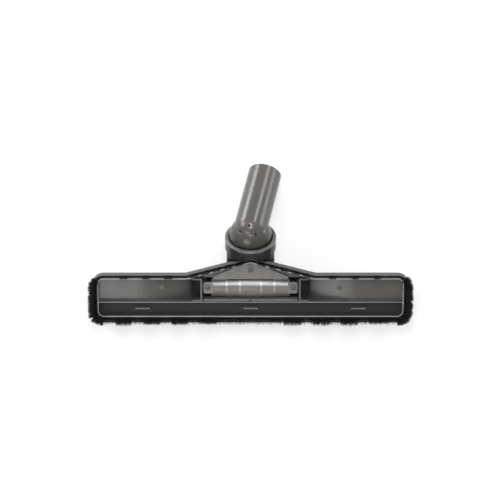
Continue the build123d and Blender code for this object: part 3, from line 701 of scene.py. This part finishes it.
class BRUSH_OT_screws(bpy.types.Operator):
    """Give the screws their plated steel"""

    bl_idname = "brush.screws"
    bl_label = "Finish the screws"

    def execute(self, context):
        dress(["side_screws", "rear_screw"], plated_steel("screw steel", context.scene.brush_colours.steel))
        return {"FINISHED"}


class BRUSH_OT_bristles(bpy.types.Operator):
    """Grow the fibres of the seven brush rows"""

    bl_idname = "brush.bristles"
    bl_label = "Grow the bristles"

    def execute(self, context):
        scene = context.scene
        material = brush_fibre("bristle fibre", scene.brush_colours.bristle)
        for seed, row in enumerate(ROWS):
            points, faces, shade = bristle_row(scene.brush_rim, scene.brush_bristles, row, seed)
            piece = new_piece(f"fibres_{row}", points, faces, material, shade)
            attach(piece, "head")
            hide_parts(f"bristles_{row}")
        return {"FINISHED"}


class BRUSH_OT_studio(bpy.types.Operator):
    """Set up the floor, the lamps, the room and the camera"""

    bl_idname = "brush.studio"
    bl_label = "Set up the studio"

    def execute(self, context):
        scene = context.scene
        studio = scene.brush_studio
        self.floor(scene)
        self.room(scene, studio)
        for name, (place, size, setting, share) in LAMPS.items():
            self.lamp(scene, name, place, size, share * getattr(studio, setting))
        self.camera(scene, studio, scene.brush_rim)
        return {"FINISHED"}

    def floor(self, scene):
        """A flat square grid at height 0."""
        side = np.linspace(-FLOOR_HALF, FLOOR_HALF, FLOOR_LINES)
        x, y = np.meshgrid(side, side, indexing="ij")
        points = np.stack([x, y, np.zeros_like(x)], -1).reshape(-1, 3)
        corner = np.arange(x.size).reshape(x.shape)
        faces = np.stack([corner[:-1, :-1], corner[1:, :-1], corner[1:, 1:], corner[:-1, 1:]], -1)
        material = pale_floor("floor", scene.brush_colours.floor)
        floor = new_piece("floor", points, [faces.reshape(-1, 4)], material)

    def room(self, scene, studio):
        """White light from all round, whose strength changes from the sides to the ceiling."""
        room = Finish(bpy.data.worlds.new("room"))
        place = room.add("ShaderNodeTexCoord", output="Generated")
        height = room.add("ShaderNodeSeparateXYZ", None, {0: place}, output="Z")
        level = room.between(height, 0, 1) * (studio.room_top - studio.room_side) + studio.room_side
        light = room.add("ShaderNodeBackground", None, {"Color": (1, 1, 1, 1), "Strength": level})
        scene.world = room.close(light, "ShaderNodeOutputWorld")

    def lamp(self, scene, name, place, size, power):
        """A flat softbox that faces the middle of the object's box."""
        light = bpy.data.lights.new(name, "AREA")
        light.shape = "RECTANGLE"
        light.size, light.size_y = size
        light.energy = power
        lamp = bpy.data.objects.new(name, light)
        lamp.location = place
        middle = (Vector(cad_box[0]) + Vector(cad_box[1])) / 2
        lamp.rotation_euler = (middle - lamp.location).to_track_quat("-Z", "Y").to_euler()
        scene.collection.objects.link(lamp)

    def camera(self, scene, studio, rim):
        """A long lens that looks down on the sole, set by a point at the sole's front."""
        ahead = Vector((0, math.sin(studio.tip), -math.cos(studio.tip)))
        up = Vector((0, math.cos(studio.tip), math.sin(studio.tip)))
        front = np.array([[-studio.side_shift, -studio.front_place, rim.sole_height]])
        view = bpy.data.cameras.new("camera")
        view.sensor_width = 36
        view.lens = view.sensor_width * studio.distance / studio.picture_width
        view.clip_start, view.clip_end = 0.05, 20
        camera = bpy.data.objects.new("camera", view)
        turn = Matrix((Vector((1, 0, 0)), up, -ahead)).transposed()
        place = Vector(lay(rim, front)[0]) - studio.distance * ahead + studio.front_drop * up
        camera.matrix_world = Matrix.Translation(place) @ turn.to_4x4()
        scene.collection.objects.link(camera)
        scene.camera = camera
        scene.view_settings.view_transform = "Standard"


class BRUSH_PT_panel(bpy.types.Panel):
    """Lists the brush head's steps and sizes"""

    bl_label = "Floor brush head"
    bl_idname = "BRUSH_PT_panel"
    bl_space_type = "VIEW_3D"
    bl_region_type = "UI"
    bl_category = "Brush head"

    def draw(self, context):
        for step in STEPS:
            self.layout.operator(step.bl_idname)
        for group in GROUPS:
            box = self.layout.box()
            settings = getattr(context.scene, group)
            for name in settings.bl_rna.properties.keys():
                if name not in ("rna_type", "name"):
                    box.prop(settings, name)


STEPS = (BRUSH_OT_mouldings, BRUSH_OT_screws, BRUSH_OT_bristles, BRUSH_OT_studio)
GROUPS = {
    "brush_rim": RimSizes,
    "brush_bristles": BristleSizes,
    "brush_colours": FinishColours,
    "brush_studio": StudioSettings,
}


def register():
    for group in (*GROUPS.values(), *STEPS, BRUSH_PT_panel):
        bpy.utils.register_class(group)
    for name, group in GROUPS.items():
        setattr(bpy.types.Scene, name, PointerProperty(type=group))


def unregister():
    for name in GROUPS:
        delattr(bpy.types.Scene, name)
    for group in (BRUSH_PT_panel, *reversed(STEPS), *reversed(GROUPS.values())):
        bpy.utils.unregister_class(group)


def main():
    register()
    bpy.ops.brush.mouldings()
    bpy.ops.brush.screws()
    bpy.ops.brush.bristles()
    bpy.ops.brush.studio()


if __name__ == "__main__":
    main()
